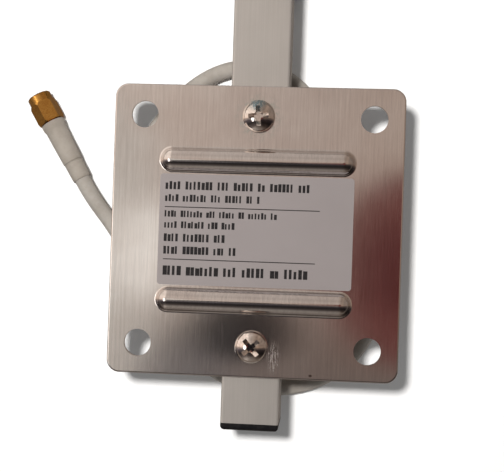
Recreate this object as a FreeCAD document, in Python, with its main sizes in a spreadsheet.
"""Sixteen-element 2.4 GHz Yagi antenna with a square mast plate and a short coax pigtail.

The antenna lies on its back: the mast plate faces up, the boom runs along +Y and the elements
lie across it along X. The origin is the centre of the plate's four mast holes, on the plate's
outer face, so everything but the beads, screw heads and label is below z = 0.
"""
import FreeCAD, Part
import math
import os
import re

import Sketcher
from FreeCAD import Placement, Rotation, Vector

DIMENSIONS = [
    ("plate_side", 90, "square mast plate"),
    ("plate_thick", 1.5, "sheet thickness"),
    ("plate_corner", 4, "corner radius of the plate"),
    ("plate_edge", 0.5, "rounding left on the outer face by the punch"),
    ("hole_pitch", 71, "mast holes and plate screws, centre to centre"),
    ("hole_size", 8.4, "mast hole diameter"),
    ("bead_length", 60, "pressed bead, end to end"),
    ("bead_width", 7.3, "pressed bead"),
    ("bead_height", 3, "pressed bead above the plate"),
    ("bead_offset", 21.7, "bead centre line from the plate's middle"),
    ("bead_skin", 1.2, "sheet left over the bead after pressing"),
    ("bead_foot", 0.7, "concave rounding where the bead leaves the plate"),
    ("label_length", 60, "foil label between the beads"),
    ("label_height", 34.4, "foil label"),
    ("label_thick", 0.15, "foil label"),
    ("boom_side", 18, "square boom tube"),
    ("boom_wall", 1.2, "square boom tube"),
    ("boom_corner", 0.8, "outer corner radius of the tube"),
    ("boom_tail", 14.5, "boom behind the plate's rear edge"),
    ("boom_nose", 14, "boom beyond the last director"),
    ("cap_flange", 2.2, "end cap flange thickness"),
    ("cap_plug", 8, "end cap spigot length"),
    ("cap_wall", 1.4, "end cap spigot wall"),
    ("cap_round", 1.3, "rounding of the cap's outer face"),
    ("screw_size", 5, "plate screw thread"),
    ("screw_length", 25, "plate screw under the head"),
    ("head_size", 10, "plate screw pan head"),
    ("head_height", 3.6, "plate screw pan head"),
    ("head_rim", 1.1, "straight rim under the pan head's dome"),
    ("recess_width", 6.4, "screwdriver cross, tip to tip on the dome"),
    ("recess_depth", 2.3, "screwdriver cross below the crown"),
    ("washer_thick", 1.2, "split lock washer"),
    ("washer_size", 9.2, "split lock washer"),
    ("nut_flats", 8, "hexagon nut across flats"),
    ("nut_height", 4, "hexagon nut"),
    ("clip_height", 9, "element clip below the boom"),
    ("clip_wall", 1.6, "clip lip beside the boom"),
    ("clip_lip", 4, "clip lip height"),
    ("clip_ahead", 4, "clip in front of its element"),
    ("clip_behind", 9, "clip behind its element"),
    ("pilot_offset", 5.3, "clip screw behind its element"),
    ("pilot_size", 2.9, "clip screw thread"),
    ("pilot_head", 5.2, "clip screw head"),
    ("pilot_reach", 9, "clip screw under the head"),
    ("rod_size", 4, "element rod diameter"),
    ("reflector_place", 88, "reflector from the plate's middle"),
    ("reflector_length", 62, "reflector rod"),
    ("dipole_place", 113, "driven element from the plate's middle"),
    ("dipole_length", 56, "folded dipole, tip to tip"),
    ("dipole_rod", 3, "folded dipole rod"),
    ("dipole_bend", 5.5, "folded dipole end bend radius"),
    ("dipole_gap", 6, "feed gap of the folded dipole"),
    ("director_place", 138, "first director from the plate's middle"),
    ("director_first", 53, "first director rod"),
    ("director_last", 47, "last director rod"),
    ("spacing_first", 27, "first to second director"),
    ("spacing_last", 44, "last two directors"),
    ("feed_width", 30, "feed box across the boom"),
    ("feed_length", 30, "feed box along the boom"),
    ("feed_wall", 1.5, "feed box wall"),
    ("anchor_step", 10, "feed box screw from the dipole's middle"),
    ("board_shift", 3.7, "balun board behind the dipole's middle"),
    ("feed_corner", 2.5, "feed box corner radius"),
    ("cable_size", 5.4, "coax jacket diameter"),
    ("lead_size", 2.5, "thin coax inside the boom"),
    ("lead_bend", 8, "bend of the thin coax"),
    ("lead_side", 5.3, "thin coax beside the plate screws"),
    ("exit_place", -16, "cable bush along the boom"),
    ("bush_size", 9.5, "cable bush flange"),
    ("bush_neck", 7.4, "cable bush neck through the wall"),
    ("bush_flange", 2, "cable bush flange thickness"),
    ("hex_flats", 8, "coupling nut across flats"),
    ("hex_length", 7.2, "hexagon part of the coupling nut"),
    ("collar_length", 2.8, "round part of the coupling nut"),
    ("collar_size", 8, "round part of the coupling nut"),
    ("thread_size", 6.35, "coupling nut thread"),
    ("neck_size", 5, "plug body inside the nut's rear lip"),
    ("lip_length", 1.7, "coupling nut's rear lip"),
    ("rear_foot", 6.3, "rear sleeve at the cable"),
    ("rear_top", 6.5, "rear sleeve under the front one"),
    ("front_foot", 6.9, "front sleeve over the rear one"),
    ("front_top", 7.4, "front sleeve at the plug's shoulder"),
    ("flare_size", 8.1, "front sleeve over the plug's shoulder"),
    ("step_place", 6.6, "from the rear sleeve's foot to the front sleeve"),
    ("shoulder_place", 18.8, "from the rear sleeve's foot to the plug's shoulder"),
    ("sleeve_end", 21.7, "from the rear sleeve's foot to the front sleeve's end"),
    ("nut_place", 22, "from the rear sleeve's foot to the coupling nut"),
    ("crimp_size", 6.2, "crimp ferrule"),
    ("insert_size", 4.1, "insulator"),
    ("pin_size", 1.26, "centre pin"),
]
DIRECTORS = 14
SPACING_POWER = 0.7
CLEARANCE = 0.02
SCREW_TURNS = {-1: 41, 1: 4}
NUT_TURN = 18

doc = FreeCAD.newDocument("yagi_antenna")
sheet = doc.addObject("Spreadsheet::Sheet", "dims")
for number, (alias, size, note) in enumerate(DIMENSIONS, 1):
    sheet.set(f"A{number}", alias)
    sheet.set(f"B{number}", str(size))
    sheet.set(f"C{number}", note)
    sheet.setAlias(f"B{number}", alias)
doc.recompute()

ALIAS = re.compile(r"\b(" + "|".join(name for name, _, _ in DIMENSIONS) + r")\b")
sub_parts = []


def expression(text):
    """The same expression with every dimension name pointing at its sheet cell."""
    return ALIAS.sub(r"dims.\1", str(text))


def value(text):
    """An expression's number, in millimetres."""
    return float(sheet.evalExpression(expression(text)))


def bind(thing, **properties):
    for name, text in properties.items():
        thing.setExpression(name, expression(text))


def place(thing, x=0, y=0, z=0, turn=None):
    """Puts a primitive's origin at expressions x, y, z, turned so that its Z axis lies along turn."""
    if turn is not None:
        thing.Placement = Placement(Vector(), Rotation(Vector(0, 0, 1), Vector(*turn)))
    for name, text in (("x", x), ("y", y), ("z", z)):
        thing.setExpression(f"Placement.Base.{name}", expression(text))
    return thing


def box(name, size, centre):
    """A box of three expressions, centred on three more."""
    thing = doc.addObject("Part::Box", name)
    bind(thing, Length=size[0], Width=size[1], Height=size[2])
    corner = [f"({c}) - ({s}) / 2" for c, s in zip(centre, size)]
    return place(thing, *corner)


def cylinder(name, diameter, height, base=(0, 0, 0), turn=None):
    thing = doc.addObject("Part::Cylinder", name)
    bind(thing, Radius=f"({diameter}) / 2", Height=height)
    return place(thing, *base, turn=turn)


def cone(name, foot, top, height, base=(0, 0, 0), turn=None):
    thing = doc.addObject("Part::Cone", name)
    bind(thing, Radius1=f"({foot}) / 2", Radius2=f"({top}) / 2", Height=height)
    return place(thing, *base, turn=turn)


def fuse(name, *things):
    joined = doc.addObject("Part::MultiFuse", name)
    joined.Shapes = list(things)
    return joined


def cut(name, base, *tools):
    result = doc.addObject("Part::Cut", name)
    result.Base = base
    result.Tool = tools[0] if len(tools) == 1 else fuse(name + "_tools", *tools)
    return result


def common(name, first, second):
    result = doc.addObject("Part::Common", name)
    result.Base, result.Tool = first, second
    return result


def rounded(name, base, radius, wanted, kind="Part::Fillet"):
    """Fillets (or chamfers) the edges of base for which wanted(edge) is true."""
    doc.recompute()
    size = value(radius)
    picked = [i for i, edge in enumerate(base.Shape.Edges, 1) if wanted(edge)]
    result = doc.addObject(kind, name)
    result.Base = base
    result.Edges = [(i, size, size) for i in picked]
    return result


def group(name, things):
    result = doc.addObject("Part::Compound", name)
    result.Links = list(things)
    return result


def sub_part(thing, label):
    """Names a finished piece. Its Label becomes its file's name."""
    thing.Label = label
    sub_parts.append(thing)
    return thing


def shaped(label, shape):
    """A piece whose finished shape is handed over as it is."""
    feature = doc.addObject("Part::Feature", label)
    feature.Shape = shape
    sub_part(feature, label)


def along(edge, axis):
    """True for a straight edge that runs along the axis."""
    if not isinstance(edge.Curve, Part.Line):
        return False
    return abs(edge.Curve.Direction.dot(Vector(*axis))) > 0.999


def flat_at(edge, height):
    """True for an edge that lies at one height."""
    bounds = edge.BoundBox
    return abs(bounds.ZMin - height) < 1e-4 and abs(bounds.ZMax - height) < 1e-4


# Sketched bodies


def origin_plane(body, role):
    return next(item for item in body.Origin.OriginFeatures if item.Role == role)


def new_sketch(body, role, name, offset=(0, 0, 0)):
    """A sketch on one of the body's origin planes, shifted by three expressions in its own axes."""
    sketch = body.newObject("Sketcher::SketchObject", name)
    sketch.AttachmentSupport = (origin_plane(body, role), [""])
    sketch.MapMode = "FlatFace"
    for axis, text in zip("xyz", offset):
        sketch.setExpression(f".AttachmentOffset.Base.{axis}", expression(text))
    return sketch


def dimension(sketch, kind, *where, text):
    index = sketch.addConstraint(Sketcher.Constraint(kind, *where, value(text)))
    sketch.setExpression(f"Constraints[{index}]", expression(text))


def draw_rectangle(sketch, width, height):
    """A rectangle centred on the sketch's origin."""
    half_w, half_h = value(width) / 2, value(height) / 2
    corners = [(-half_w, -half_h), (half_w, -half_h), (half_w, half_h), (-half_w, half_h)]
    first = sketch.GeometryCount
    for i in range(4):
        start, end = corners[i], corners[(i + 1) % 4]
        sketch.addGeometry(Part.LineSegment(Vector(*start, 0), Vector(*end, 0)))
    for i in range(4):
        sketch.addConstraint(Sketcher.Constraint("Coincident", first + i, 2, first + (i + 1) % 4, 1))
        side = "Horizontal" if i % 2 == 0 else "Vertical"
        sketch.addConstraint(Sketcher.Constraint(side, first + i))
    sketch.addConstraint(Sketcher.Constraint("Symmetric", first, 1, first + 2, 1, -1, 1))
    dimension(sketch, "DistanceX", first, 1, first, 2, text=width)
    dimension(sketch, "DistanceY", first + 1, 1, first + 1, 2, text=height)


def draw_circle(sketch, diameter, x="0", y="0"):
    """A circle whose centre is x, y from the sketch's origin, neither of them negative."""
    centre = Vector(value(x), value(y), 0)
    index = sketch.addGeometry(Part.Circle(centre, Vector(0, 0, 1), value(diameter) / 2))
    dimension(sketch, "Diameter", index, text=diameter)
    for kind, text in (("DistanceX", x), ("DistanceY", y)):
        if value(text) == 0:
            on_axis = -2 if kind == "DistanceX" else -1
            sketch.addConstraint(Sketcher.Constraint("PointOnObject", index, 3, on_axis))
        else:
            dimension(sketch, kind, -1, 1, index, 3, text=text)


def pad(body, sketch, length, name="pad"):
    feature = body.newObject("PartDesign::Pad", name)
    feature.Profile = sketch
    bind(feature, Length=length)
    return feature


def pocket_through(body, sketch, name):
    feature = body.newObject("PartDesign::Pocket", name)
    feature.Profile = sketch
    feature.Type = 1
    feature.Midplane = True
    return feature


def around_z(body, feature, count, name):
    """Repeats a feature about the body's Z axis."""
    pattern = body.newObject("PartDesign::PolarPattern", name)
    pattern.Originals = [feature]
    pattern.Axis = (origin_plane(body, "Z_Axis"), [""])
    pattern.Angle = 360
    pattern.Occurrences = count
    body.Tip = pattern
    return pattern


def dress(body, kind, base, radius, wanted, name):
    """Fillets or chamfers the edges of base for which wanted(edge) is true."""
    doc.recompute()
    edges = [f"Edge{i}" for i, edge in enumerate(base.Shape.Edges, 1) if wanted(edge)]
    feature = body.newObject(f"PartDesign::{kind}", name)
    feature.Base = (base, edges)
    bind(feature, **{"Radius" if kind == "Fillet" else "Size": radius})
    return feature


# Places along the antenna


def director_places():
    """Distances of the directors from the plate's middle; the gaps widen towards the nose."""
    places = [value("director_place")]
    first, last = value("spacing_first"), value("spacing_last")
    for i in range(DIRECTORS - 1):
        share = (i / (DIRECTORS - 2)) ** SPACING_POWER
        places.append(places[-1] + first + (last - first) * share)
    return places


PLACES = director_places()
BOOM_TOP = "(-plate_thick)"
BOOM_UNDER = "(-plate_thick - boom_side)"
BOOM_MIDDLE = "(-plate_thick - boom_side / 2)"
ROD_LEVEL = "(-plate_thick - boom_side - clip_height / 2)"
FLOOR = "(-plate_thick - boom_side - clip_height)"
BOOM_REAR = "(-plate_side / 2 - boom_tail)"
BOOM_FRONT = f"({PLACES[-1]:.3f} + boom_nose)"
BOOM_LENGTH = f"({BOOM_FRONT} - {BOOM_REAR})"
INSIDE = "(boom_side - 2 * boom_wall)"


# Mast plate and label


def bead(name, offset, radius, straight, level):
    """A sausage along X: a cylinder with a ball at each end."""
    core = cylinder(name + "_core", f"2 * ({radius})", straight,
                    (f"-({straight}) / 2", offset, level), (1, 0, 0))
    balls = []
    for side in (-1, 1):
        ball = doc.addObject("Part::Sphere", f"{name}_ball")
        bind(ball, Radius=radius)
        balls.append(place(ball, f"{side} * ({straight}) / 2", offset, level))
    return fuse(name, core, *balls)


def make_mount_plate():
    body = doc.addObject("PartDesign::Body", "plate_blank")
    outline = new_sketch(body, "XY_Plane", "outline", (0, 0, "-plate_thick"))
    draw_rectangle(outline, "plate_side", "plate_side")
    blank = pad(body, outline, "plate_thick")
    corners = dress(body, "Fillet", blank, "plate_corner", lambda e: along(e, (0, 0, 1)), "corners")
    rim = dress(body, "Fillet", corners, "plate_edge", lambda e: flat_at(e, 0), "rim")
    body.Tip = rim
    mast_hole = new_sketch(body, "XY_Plane", "mast_hole")
    draw_circle(mast_hole, "hole_size", "hole_pitch / 2", "hole_pitch / 2")
    around_z(body, pocket_through(body, mast_hole, "mast_pocket"), 4, "mast_holes")
    screw_hole = new_sketch(body, "XY_Plane", "screw_hole")
    draw_circle(screw_hole, "screw_size + 0.5", "0", "hole_pitch / 2")
    around_z(body, pocket_through(body, screw_hole, "screw_pocket"), 2, "screw_holes")
    doc.recompute()

    # The bead's section is an arc through its two feet and its crown.
    radius = "((bead_width ^ 2 / 4 + bead_height ^ 2) / (2 * bead_height))"
    level = f"(bead_height - {radius})"
    straight = "(bead_length - bead_width)"
    crests, hollows = [], []
    for side, where in ((1, "upper"), (-1, "lower")):
        offset = f"{side} * bead_offset"
        crest = bead(f"{where}_crest", offset, radius, straight, level)
        above = box(f"{where}_half_space", ("plate_side", "plate_side", "2 * bead_height"),
                    (0, 0, "bead_height - plate_thick"))
        crests.append(common(f"{where}_bead", crest, above))
        hollows.append(bead(f"{where}_hollow", offset, f"({radius} - bead_skin)", straight, level))
    pressed = fuse("pressed_plate", body, *crests)
    reach = value("bead_offset + bead_width")

    def bead_foot(edge):
        bounds = edge.BoundBox
        inside = max(abs(bounds.YMin), abs(bounds.YMax)) < reach
        screw = abs(bounds.YMin) > value("bead_offset + bead_width / 2 + 0.5")
        return flat_at(edge, 0) and inside and not screw

    footed = rounded("footed_plate", pressed, "bead_foot", bead_foot)
    sub_part(cut("mount_plate_cut", footed, *hollows), "mount_plate")


def make_label():
    body = doc.addObject("PartDesign::Body", "label_body")
    outline = new_sketch(body, "XY_Plane", "label_outline")
    draw_rectangle(outline, "label_length", "label_height")
    foil = pad(body, outline, "label_thick")
    body.Tip = dress(body, "Fillet", foil, "1", lambda e: along(e, (0, 0, 1)), "label_corners")
    sub_part(body, "rating_label")


# Boom and its caps


def make_boom():
    body = doc.addObject("PartDesign::Body", "boom_tube")
    # An XZ sketch looks along -Y, so its offset runs backwards from the rear end.
    outside = new_sketch(body, "XZ_Plane", "outside", (0, BOOM_MIDDLE, f"-{BOOM_FRONT}"))
    draw_rectangle(outside, "boom_side", "boom_side")
    tube = pad(body, outside, BOOM_LENGTH)
    softened = dress(body, "Fillet", tube, "boom_corner", lambda e: along(e, (0, 1, 0)), "edges")
    inside = new_sketch(body, "XZ_Plane", "inside", (0, BOOM_MIDDLE, f"-{BOOM_FRONT}"))
    draw_rectangle(inside, INSIDE, INSIDE)
    body.Tip = softened
    pocket_through(body, inside, "bore")

    tools = []
    for side in (-1, 1):
        tools.append(cylinder("screw_way", "screw_size + 0.4", "boom_side + 2",
                              (0, f"{side} * hole_pitch / 2", f"{BOOM_UNDER} - 1")))
    pilots = [value("reflector_place"), *PLACES]
    for spot in pilots:
        tools.append(cylinder("pilot", f"pilot_size + 2 * {CLEARANCE}", "boom_wall + 2",
                              (0, f"{spot:.3f} - pilot_offset", f"{BOOM_UNDER} - 1")))
    for side in (-1, 1):
        tools.append(cylinder("feed_pilot", f"pilot_size + 2 * {CLEARANCE}", "boom_wall + 2",
                              (0, f"dipole_place + {side} * anchor_step", f"{BOOM_UNDER} - 1")))
    tools.append(cylinder("lead_way", "lead_size + 1", "boom_wall + 2",
                          ("lead_side", "dipole_place - board_shift", f"{BOOM_UNDER} - 1")))
    tools.append(cylinder("bush_way", f"bush_neck + 2 * {CLEARANCE}", "boom_wall + 2",
                          ("-boom_side / 2 - 1", "exit_place", BOOM_MIDDLE), (1, 0, 0)))
    sub_part(cut("boom_cut", body, *tools), "boom")


def make_end_cap(label, face, direction):
    """A pushed-in plastic cap; face is the tube's end and direction points out of it."""
    flange = box(label + "_flange", ("boom_side", "cap_flange", "boom_side"),
                 (0, f"{face} + {direction} * cap_flange / 2", BOOM_MIDDLE))
    spigot = box(label + "_spigot", (f"{INSIDE} - 0.1", "cap_plug", f"{INSIDE} - 0.1"),
                 (0, f"{face} - {direction} * cap_plug / 2", BOOM_MIDDLE))
    hollow = box(label + "_hollow",
                 (f"{INSIDE} - 2 * cap_wall", "cap_plug", f"{INSIDE} - 2 * cap_wall"),
                 (0, f"{face} - {direction} * (cap_plug / 2 + 0.8)", BOOM_MIDDLE))
    sides = rounded(label + "_sides", flange, "boom_corner", lambda e: along(e, (0, 1, 0)))
    outer = value(f"{face} + {direction} * cap_flange")
    faced = rounded(label + "_faced", sides, "cap_round",
                    lambda e: abs(e.BoundBox.YMin - outer) + abs(e.BoundBox.YMax - outer) < 1e-3)
    sub_part(cut(label + "_cut", fuse(label + "_whole", faced, spigot), hollow), label)


# Plate fasteners


def turned(thing, angle, x, y, z):
    """Turns a piece made at the origin about Z, in degrees, and moves it to x, y, z."""
    thing.Placement = Placement(Vector(), Rotation(Vector(0, 0, 1), angle))
    return place(thing, x, y, z)


def cross_recess(name, y, angle):
    """The cross a screwdriver turns: two slots whose ends slope in towards a blunt point."""
    arm = "recess_width * 0.22"
    above = "recess_width * 0.3"
    slots = [box(f"{name}_slot", (*size, "2 * recess_depth"), (0, 0, 0))
             for size in (("2 * recess_width", arm), (arm, "2 * recess_width"))]
    wings = cone(f"{name}_wings", "recess_width * 0.45", f"recess_width + {above}", "recess_depth",
                 (0, 0, "-recess_depth"))
    tip = cone(f"{name}_tip", "recess_width * 0.16", "recess_width * 0.42", "recess_depth",
               (0, 0, "-recess_depth"))
    cross = fuse(name, common(f"{name}_arms", fuse(f"{name}_slots", *slots), wings), tip)
    return turned(cross, angle, 0, y, "head_height + 0.01")


def make_plate_screws():
    dome_height = "(head_height - head_rim)"
    dome_radius = f"((head_size ^ 2 / 4 + {dome_height} ^ 2) / (2 * {dome_height}))"
    screws = []
    for side in (-1, 1):
        y = f"{side} * hole_pitch / 2"
        barrel = cylinder("pan_barrel", "head_size", "head_height", (0, y, 0))
        ball = doc.addObject("Part::Sphere", "pan_ball")
        bind(ball, Radius=dome_radius)
        head = common("pan_head", barrel, place(ball, 0, y, f"head_height - {dome_radius}"))
        rimmed = rounded("pan_rim", head, "0.35", lambda e: flat_at(e, value("head_rim")))
        shank = cylinder("shank", "screw_size", "screw_length", (0, y, "-screw_length"))
        tipped = rounded("shank_tip", shank, "0.6",
                         lambda e: flat_at(e, value("-screw_length")), "Part::Chamfer")
        whole = fuse("screw_blank", rimmed, tipped)
        screws.append(cut("plate_screw", whole, cross_recess("screw_cross", y, SCREW_TURNS[side])))
    sub_part(group("plate_screws_group", screws), "plate_screws")


def make_lock_washers():
    washers = []
    for side in (-1, 1):
        y = f"{side} * hole_pitch / 2"
        base = f"{BOOM_UNDER} - washer_thick"
        ring = cylinder("washer_ring", "washer_size", "washer_thick", (0, y, base))
        bore = cylinder("washer_bore", "screw_size + 0.3", "washer_thick + 2", (0, y, f"{base} - 1"))
        split = box("washer_split", ("washer_size", 0.8, "washer_thick + 2"),
                    ("washer_size / 2", y, f"{base} + washer_thick / 2"))
        washers.append(cut("lock_washer", ring, bore, split))
    sub_part(group("lock_washers_group", washers), "lock_washers")


def hexagon(name, flats, height, base):
    """A hexagonal prism with two flats facing up and down the sheet's Y axis."""
    prism = doc.addObject("Part::Prism", name)
    prism.Polygon = 6
    bind(prism, Circumradius=f"({flats}) / sqrt(3)", Height=height)
    return place(prism, *base)


def make_plate_nuts():
    nuts = []
    for side in (-1, 1):
        y = f"{side} * hole_pitch / 2"
        base = f"({BOOM_UNDER} - washer_thick - nut_height)"
        block = hexagon("nut_block", "nut_flats", "nut_height", (0, y, base))
        dome = cone("nut_dome", "nut_flats * 1.02", "nut_flats * 2.2", "nut_height * 1.6", (0, y, base))
        bore = cylinder("nut_bore", f"screw_size + 2 * {CLEARANCE}", "nut_height + 2",
                        (0, y, f"{base} - 1"))
        nuts.append(cut("plate_nut", common("nut_faced", block, dome), bore))
    sub_part(group("plate_nuts_group", nuts), "plate_nuts")


# Elements and their clips


def make_rod(label, spot, length, diameter="rod_size"):
    rod = cylinder(label + "_rod", diameter, length, (f"-({length}) / 2", spot, ROD_LEVEL), (1, 0, 0))
    ended = rounded(label + "_ended", rod, "0.4", lambda e: isinstance(e.Curve, Part.Circle),
                    "Part::Chamfer")
    sub_part(ended, label)


def clip_shape():
    """One element clip at y = 0: a block under the boom with two lips that grip its sides."""
    width = "(boom_side + 0.2 + 2 * clip_wall)"
    length = "(clip_ahead + clip_behind)"
    middle = "(clip_ahead - clip_behind) / 2"
    block = box("clip_block", (width, length, "clip_height + clip_lip"),
                (0, middle, f"{FLOOR} + (clip_height + clip_lip) / 2"))
    softened = rounded("clip_soft", block, "1", lambda e: not along(e, (1, 0, 0)) or
                       flat_at(e, value(FLOOR)))
    throat = box("clip_throat", ("boom_side + 0.2", f"{length} + 2", "clip_lip + 1"),
                 (0, middle, f"{BOOM_UNDER} + (clip_lip + 1) / 2"))
    rod_way = cylinder("rod_way", f"rod_size + 2 * {CLEARANCE}", f"{width} + 2",
                       (f"-{width} / 2 - 1", 0, ROD_LEVEL), (1, 0, 0))
    sink = cylinder("screw_sink", "pilot_head + 0.6", "2.4", (0, "-pilot_offset", f"{FLOOR} - 0.4"))
    pilot = cylinder("screw_hole_clip", f"pilot_size + 2 * {CLEARANCE}", "clip_height + 2",
                     (0, "-pilot_offset", f"{FLOOR} - 1"))
    clip = cut("clip_master", softened, throat, rod_way, sink, pilot)
    doc.recompute()
    return clip


def small_screw_shape(name, reach, top):
    """A self-tapping screw at the origin, head down, whose head meets its seat at height top."""
    head = cylinder(name + "_head", "pilot_head", "1.6", (0, 0, f"{top} - 1.6"))
    domed = rounded(name + "_dome", head, "0.9", lambda e: flat_at(e, value(f"{top} - 1.6")))
    shank = cylinder(name + "_shank", "pilot_size", reach, (0, 0, top))
    point = cone(name + "_point", "pilot_size", "0.6", "1.6", (0, 0, f"{top} + {reach}"))
    slot = box(name + "_slot_a", ("2.6", "0.6", "1.8"), (0, 0, f"{top} - 1.6"))
    cross = box(name + "_slot_b", ("0.6", "2.6", "1.8"), (0, 0, f"{top} - 1.6"))
    screw = cut(name, fuse(name + "_blank", domed, shank, point), slot, cross)
    doc.recompute()
    return screw


def repeated(label, master, spots):
    """One node of separate solids: master's shape moved to each (x, y, z)."""
    copies = []
    for number, spot in enumerate(spots, 1):
        copy = doc.addObject("Part::Feature", f"{label}_{number:02d}")
        copy.Shape = master.Shape.copy()
        copy.Placement = Placement(Vector(*spot), Rotation())
        copies.append(copy)
    sub_part(group(label + "_group", copies), label)


def make_elements():
    make_rod("reflector", "reflector_place", "reflector_length")
    for i, spot in enumerate(PLACES):
        share = i / (DIRECTORS - 1)
        length = f"(director_first + (director_last - director_first) * {share:.4f})"
        make_rod(f"director_{i + 1:02d}", f"{spot:.3f}", length)
    spots = [value("reflector_place"), *PLACES]
    repeated("element_clips", clip_shape(), [(0, spot, 0) for spot in spots])
    screw = small_screw_shape("clip_screw", "pilot_reach", f"({FLOOR} + 2)")
    offset = value("pilot_offset")
    repeated("clip_screws", screw, [(0, spot - offset, 0) for spot in spots])


def make_driven_element():
    """A folded dipole: two long sides, a half-round bend at each end and a feed gap behind."""
    straight = "(dipole_length / 2 - dipole_bend - dipole_rod / 2)"
    pieces = [cylinder("dipole_front", "dipole_rod", f"2 * {straight}",
                       (f"-{straight}", "dipole_place + dipole_bend", ROD_LEVEL), (1, 0, 0))]
    for side in (-1, 1):
        start = f"-{straight}" if side < 0 else "dipole_gap / 2"
        pieces.append(cylinder("dipole_half", "dipole_rod", f"{straight} - dipole_gap / 2",
                               (start, "dipole_place - dipole_bend", ROD_LEVEL), (1, 0, 0)))
        bend = doc.addObject("Part::Torus", "dipole_end")
        bind(bend, Radius1="dipole_bend", Radius2="dipole_rod / 2")
        bend.Angle3 = 180
        bend.Placement = Placement(Vector(), Rotation(Vector(0, 0, 1), -90 * side))
        pieces.append(place(bend, f"{side} * {straight}", "dipole_place", ROD_LEVEL))
    sub_part(fuse("dipole_whole", *pieces), "driven_element")


# Feed box


def feed_shell(label, top, bottom, floor_at, bosses):
    """Half of the feed box: an open tray with four corner bosses and notches for the dipole."""
    height = f"({top} - {bottom})"
    level = f"({top} + {bottom}) / 2"
    block = box(label + "_block", ("feed_width", "feed_length", height), (0, "dipole_place", level))
    shell = rounded(label + "_shell", block, "feed_corner", lambda e: along(e, (0, 0, 1)))
    inner = box(label + "_inner",
                ("feed_width - 2 * feed_wall", "feed_length - 2 * feed_wall", height),
                (0, "dipole_place", f"{level} + {floor_at} * feed_wall"))
    posts = [cylinder(label + "_post", "5", height, (x, y, bottom)) for x, y in bosses]
    tray = fuse(label + "_tray", cut(label + "_open", shell, inner), *posts)
    ways = []
    for side in (-1, 1):
        ways.append(cylinder(label + "_way", f"dipole_rod + 2 * {CLEARANCE}", "feed_width + 2",
                             ("-feed_width / 2 - 1", f"dipole_place + {side} * dipole_bend", ROD_LEVEL),
                             (1, 0, 0)))
    return tray, ways


def feed_bosses():
    return [(f"{a} * (feed_width / 2 - 3)", f"dipole_place + {b} * (feed_length / 2 - 3)")
            for a in (-1, 1) for b in (-1, 1)]


def make_feed_box():
    bosses = feed_bosses()
    tray, ways = feed_shell("feed_base", BOOM_UNDER, ROD_LEVEL, -1, bosses)
    for x, y in bosses:
        ways.append(cylinder("feed_thread", "2", "clip_height / 2 - 1", (x, y, f"{ROD_LEVEL} - 1")))
    for side in (-1, 1):
        ways.append(cylinder("feed_anchor", f"pilot_size + 2 * {CLEARANCE}", "5",
                             (0, f"dipole_place + {side} * anchor_step", f"{BOOM_UNDER} - 4")))
    ways.append(cylinder("feed_lead", "lead_size + 1", "5",
                         ("lead_side", "dipole_place - board_shift", f"{BOOM_UNDER} - 4")))
    sub_part(cut("feed_base_cut", tray, *ways), "feed_box_base")

    tray, ways = feed_shell("feed_lid", ROD_LEVEL, FLOOR, 1, bosses)
    for x, y in bosses:
        ways.append(cylinder("feed_pass", "2.4", "clip_height", (x, y, f"{FLOOR} - 1")))
        ways.append(cylinder("feed_sink", "4", "2", (x, y, f"{FLOOR} - 0.2")))
    sub_part(cut("feed_lid_cut", tray, *ways), "feed_box_lid")

    screws = []
    for x, y in bosses:
        head = cylinder("lid_head", "3.6", "1.4", (x, y, f"{FLOOR} + 0.4"))
        shank = cylinder("lid_shank", "1.96", "5", (x, y, f"{FLOOR} + 1.8"))
        slot = box("lid_slot", ("2.4", "0.5", "1"), (x, y, f"{FLOOR} + 0.4"))
        screws.append(cut("lid_screw", fuse("lid_blank", head, shank), slot))
    sub_part(group("feed_lid_screws_group", screws), "feed_lid_screws")

    anchor = small_screw_shape("anchor_screw", "4", f"({BOOM_UNDER} - feed_wall)")
    middle, step = value("dipole_place"), value("anchor_step")
    repeated("feed_anchor_screws", anchor, [(0, middle - step, 0), (0, middle + step, 0)])

    # The balun board sits on the two cut ends of the dipole, which are soldered to it.
    board_under = f"({ROD_LEVEL} + dipole_rod / 2)"
    board = box("balun_plate", ("14", "7", "0.8"),
                (0, "dipole_place - board_shift", f"{board_under} + 0.4"))
    sub_part(board, "balun_board")


# Coax inside the boom and the cable bush


def make_inner_coax():
    """The thin coax: out to the side, along the boom and across to the cable bush."""
    radius, bend = value("lead_size / 2"), value("lead_bend")
    level, side, exit_y = value(BOOM_MIDDLE), value("lead_side"), value("exit_place")
    feed_y = value("dipole_place - board_shift")
    board_top = value(f"{ROD_LEVEL} + dipole_rod / 2 + 0.8")
    small = value("2.4 * lead_size")
    route = [
        Vector(side, feed_y, board_top),
        Vector(side, feed_y, level),
        Vector(side, exit_y, level),
        Vector(side - bend - 1.5, exit_y, level),
    ]
    shape = tube(route, radius, [small, bend])[0]
    shaped("inner_coax", shape)


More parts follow.
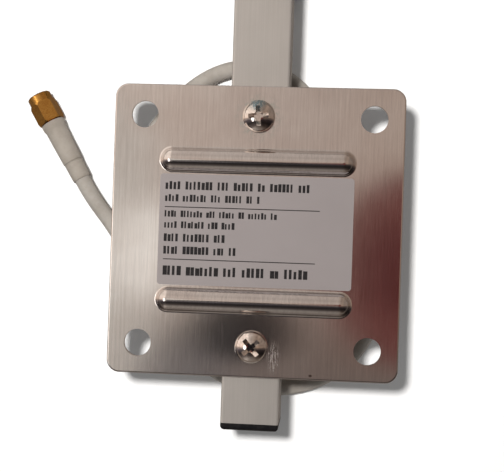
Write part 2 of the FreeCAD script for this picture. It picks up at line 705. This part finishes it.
def make_cable_bush():
    wall_face = "(-boom_side / 2)"
    root_length = "(bush_flange + boom_wall + 3)"
    flange = cone("bush_flange_body", "bush_size - 1.4", "bush_size", "bush_flange",
                  (f"{wall_face} - bush_flange", "exit_place", BOOM_MIDDLE), (1, 0, 0))
    neck = cylinder("bush_neck_body", "bush_neck", "boom_wall + 0.1",
                    (wall_face, "exit_place", BOOM_MIDDLE), (1, 0, 0))
    inner = cylinder("bush_inner", "bush_size", "1.2",
                     (f"{wall_face} + boom_wall + 0.02", "exit_place", BOOM_MIDDLE), (1, 0, 0))
    way = cylinder("bush_bore", f"cable_size + 2 * {CLEARANCE}", "12",
                   (f"{wall_face} - bush_flange - 1", "exit_place", BOOM_MIDDLE), (1, 0, 0))
    sub_part(cut("bush_cut", fuse("bush_whole", flange, neck, inner), way), "cable_bush")

    root = cylinder("root_body", "cable_size", root_length,
                    (f"{wall_face} - bush_flange", "exit_place", BOOM_MIDDLE), (1, 0, 0))
    sub_part(root, "cable_root")
    start = f"({wall_face} + boom_wall + 3)"
    ferrule = cylinder("splice_body", "cable_size - 0.6", "2.2",
                       (start, "exit_place", BOOM_MIDDLE), (1, 0, 0))
    way = cylinder("splice_bore", f"lead_size + 2 * {CLEARANCE}", "4",
                   (start, "exit_place", BOOM_MIDDLE), (1, 0, 0))
    sub_part(cut("splice_cut", ferrule, way), "splice_ferrule")


# The free pigtail


def tube(route, radius, bends):
    """A round tube along straight runs joined by tangent arcs, and its length.

    bends holds the arc radius at each inner point of the route.
    """
    edges, start = [], route[0]
    for before, corner, after, bend in zip(route, route[1:], route[2:], bends):
        into, out = (corner - before).normalize(), (after - corner).normalize()
        turn = into.getAngle(out)
        reach = bend * math.tan(turn / 2)
        arc_start, arc_end = corner - into * reach, corner + out * reach
        towards = (out - into).normalize()
        middle = corner + towards * (bend / math.cos(turn / 2) - bend)
        edges.append(Part.LineSegment(start, arc_start).toShape())
        edges.append(Part.Arc(arc_start, middle, arc_end).toShape())
        start = arc_end
    edges.append(Part.LineSegment(start, route[-1]).toShape())
    length = sum(edge.Length for edge in edges)
    heading = (route[1] - route[0]).normalize()
    ring = Part.Wire(Part.Circle(route[0], heading, radius).toShape())
    solid = Part.Wire(edges).makePipeShell([ring], True, False)
    volume = math.pi * radius**2 * length
    if abs(solid.Volume / volume - 1) > 0.01:
        raise RuntimeError(f"a tube holds {solid.Volume:.0f} mm3 where {volume:.0f} mm3 are due")
    return solid, length


def bend_radii(route):
    """The largest arc at each inner point that its two runs allow."""
    radii = []
    for before, corner, after in zip(route, route[1:], route[2:]):
        turn = (corner - before).getAngle(after - corner)
        shorter = min((corner - before).Length, (after - corner).Length)
        radii.append(0.45 * shorter / math.tan(turn / 2))
    return radii


def plug_height():
    """The plug's axis above the table, on which the lowest corner of its turned nut rests."""
    return value("hex_flats / sqrt(3)") * math.cos(math.radians(30 - NUT_TURN))


def cable_route():
    """Where the pigtail lies: out of the bush, down to the table, once round and away to the left."""
    out = value("-boom_side / 2 - bush_flange")
    exit_y, high = value("exit_place"), value(BOOM_MIDDLE)
    low = value(f"{FLOOR} + cable_size / 2")
    plug = value(FLOOR) + plug_height()
    return [
        Vector(out, exit_y, high),
        Vector(-23, exit_y, high),
        Vector(-34.3, -10.7, -12.6),
        Vector(-42.2, -0.6, -16.4),
        Vector(-44.8, 12.2, -20.8),
        Vector(-41.8, 25.2, -24.2),
        Vector(-34, 37.8, low),
        Vector(-24.2, 48.8, low),
        Vector(-12.4, 55, low),
        Vector(0.6, 55.4, low),
        Vector(11.2, 49.4, low),
        Vector(20.4, 38.6, low),
        Vector(29.8, 24.4, low),
        Vector(37.4, 5.6, low),
        Vector(40.4, -15.2, low),
        Vector(37, -33.2, low),
        Vector(25.8, -46.2, low),
        Vector(9.8, -51.8, low),
        Vector(-6.4, -50.8, low),
        Vector(-20.2, -42.4, low),
        Vector(-31.6, -28.4, low),
        Vector(-41.2, -12.6, low),
        Vector(-49.4, 0.4, low),
        Vector(-57.2, 10.2, plug),
        Vector(-60.7, 16.2, plug),
    ]


def make_cable():
    route = cable_route()
    radii = bend_radii(route)
    solid, length = tube(route, value("cable_size / 2"), radii)
    print("cable bend radii, mm:", [round(r, 1) for r in radii])
    print(f"cable length, mm: {length:.1f}")
    shaped("coax_cable", solid)
    return route


# The connector on the pigtail, built along +Z from the rear of its sleeve, then laid in place


def plug_parts():
    """Each connector piece in the plug's own axes; z runs from the cable towards the mating end."""
    loose = f"2 * {CLEARANCE}"
    tail = cylinder("tail_body", "cable_size", "10")
    rear = cut("sleeve_rear_cut", cone("sleeve_rear_body", "rear_foot", "rear_top", "step_place"),
               cylinder("sleeve_rear_bore", f"cable_size + {loose}", "step_place + 2", (0, 0, -1)))
    groove = "(shoulder_place + 1)"
    taper = cone("sleeve_taper", "front_foot", "front_top", "shoulder_place - step_place",
                 (0, 0, "step_place"))
    shoulder = cone("sleeve_shoulder", "front_top", "flare_size - 0.2", "1", (0, 0, "shoulder_place"))
    flare = cone("sleeve_flare", "flare_size - 0.2", "flare_size", f"sleeve_end - {groove}",
                 (0, 0, groove))
    front = cut("sleeve_front_cut", fuse("sleeve_front_body", taper, shoulder, flare),
                cylinder("sleeve_front_bore", f"crimp_size + {loose}", "shoulder_place - step_place + 1",
                         (0, 0, "step_place - 0.8")),
                cylinder("sleeve_flare_bore", f"6.6 + {loose}", "5", (0, 0, "shoulder_place + 0.2")))
    ferrule = cut("crimp_body",
                  cylinder("crimp_outer", "crimp_size", "shoulder_place - step_place - 1.2",
                           (0, 0, "step_place + 1.2")),
                  cylinder("crimp_inner", f"cable_size + {loose}", "shoulder_place", (0, 0, "step_place")))
    # The barrel's stations: crimp stem, shoulder, neck under the nut's lip, flange and front rim.
    barrel = fuse("plug_barrel", cylinder("barrel_rear", "5.3", "8", (0, 0, "11")),
                  cylinder("barrel_shoulder", "6.6", "nut_place - 19.2", (0, 0, "19")),
                  cylinder("barrel_neck", "neck_size", "25.4 - nut_place + 0.2", (0, 0, "nut_place - 0.2")),
                  cylinder("barrel_flange", "6.2", "1.1", (0, 0, "25.3")),
                  cylinder("barrel_front", "4.6", "3.2", (0, 0, "26.4")))
    body = cut("plug_body_cut", barrel, cylinder("barrel_bore", "insert_size", "12", (0, 0, "17.7")),
               cylinder("barrel_lead_bore", "2", "8", (0, 0, "10")))
    insulator = cut("insulator_cut",
                    cylinder("insulator_body", f"insert_size - {loose}", "11.8", (0, 0, "17.7")),
                    cylinder("insulator_bore", f"pin_size + {loose}", "14", (0, 0, "17")))
    pin = fuse("pin_whole", cylinder("pin_body", "pin_size", "17.6", (0, 0, "12")),
               cone("pin_tip", "0.92", "0.4", "1.7", (0, 0, "29.6")))
    ring = cut("snap_ring_cut", cylinder("snap_outer", "6.1", "0.4", (0, 0, "24.8")),
               cylinder("snap_inner", "neck_size + 0.1", "2", (0, 0, "24")),
               box("snap_split", (4, 0.9, 2), (2.6, 0, 25)))
    gasket = cut("gasket_cut", cylinder("gasket_outer", "6.1", "1", (0, 0, "26.42")),
                 cylinder("gasket_inner", f"4.6 + {loose}", "3", (0, 0, "25.5")))
    hexagonal = turned(hexagon("hex_block", "hex_flats", "hex_length", (0, 0, 0)), NUT_TURN,
                       0, 0, "nut_place")
    hex_dome = cone("hex_dome", "hex_flats * 1.08", "hex_flats * 2", "hex_length * 1.6",
                    (0, 0, "nut_place"))
    hex_nose = cone("hex_nose", "hex_flats * 2", "hex_flats * 1.06", "hex_length * 1.3",
                    (0, 0, "nut_place - hex_length * 0.3"))
    nut_end = "nut_place + hex_length + collar_length"
    collar = cylinder("nut_collar", "collar_size", "collar_length + 0.5",
                      (0, 0, "nut_place + hex_length - 0.5"))
    rimmed = rounded("nut_rim", collar, "0.35", lambda e: flat_at(e, value(nut_end)), "Part::Chamfer")
    faced = common("hex_faced", common("hex_domed", hexagonal, hex_dome), hex_nose)
    nut = cut("coupling_cut", fuse("coupling_block", faced, rimmed),
              cylinder("nut_neck_bore", "neck_size + 0.12", "4", (0, 0, "nut_place - 1")),
              cylinder("nut_thread_bore", "thread_size", nut_end, (0, 0, "nut_place + lip_length")))
    return {
        "cable_tail": tail,
        "heat_shrink_rear": rear,
        "heat_shrink_front": front,
        "crimp_ferrule": ferrule,
        "connector_body": body,
        "insulator": insulator,
        "centre_pin": pin,
        "snap_ring": ring,
        "gasket": gasket,
        "coupling_nut": nut,
    }


def make_plug(route):
    """Lays the connector on the last run of the cable, with a corner of its nut on the table."""
    heading = (route[-1] - route[-2]).normalize()
    across = Vector(0, 0, 1)
    turn = Rotation(across.cross(heading), across, heading, "ZXY")
    pieces = plug_parts()
    doc.recompute()
    for label, piece in pieces.items():
        laid = doc.addObject("Part::Feature", label + "_laid")
        laid.Shape = piece.Shape.copy()
        laid.Placement = Placement(route[-1], turn)
        sub_part(laid, label)
    print("plug axis:", [round(x, 5) for x in heading], "at", [round(x, 3) for x in route[-1]])


make_mount_plate()
make_label()
make_boom()
make_end_cap("rear_end_cap", BOOM_REAR, -1)
make_end_cap("front_end_cap", BOOM_FRONT, 1)
make_plate_screws()
make_lock_washers()
make_plate_nuts()
make_elements()
make_driven_element()
make_feed_box()
make_inner_coax()
make_cable_bush()
make_plug(make_cable())
doc.recompute()

for thing in doc.Objects:
    if "Invalid" in thing.State or "Error" in thing.State:
        raise RuntimeError(f"{thing.Name} ({thing.Label}) did not compute: {thing.State}")
for thing in sub_parts:
    shape = thing.Shape
    if shape.isNull() or not shape.isValid() or not shape.Solids:
        raise RuntimeError(f"{thing.Label} has no valid solid")

os.makedirs("parts", exist_ok=True)
for thing in sub_parts:
    thing.Shape.exportStep(os.path.join("parts", thing.Label + ".step"))
print(len(sub_parts), "sub-parts,", round(value(BOOM_LENGTH), 1), "mm boom")
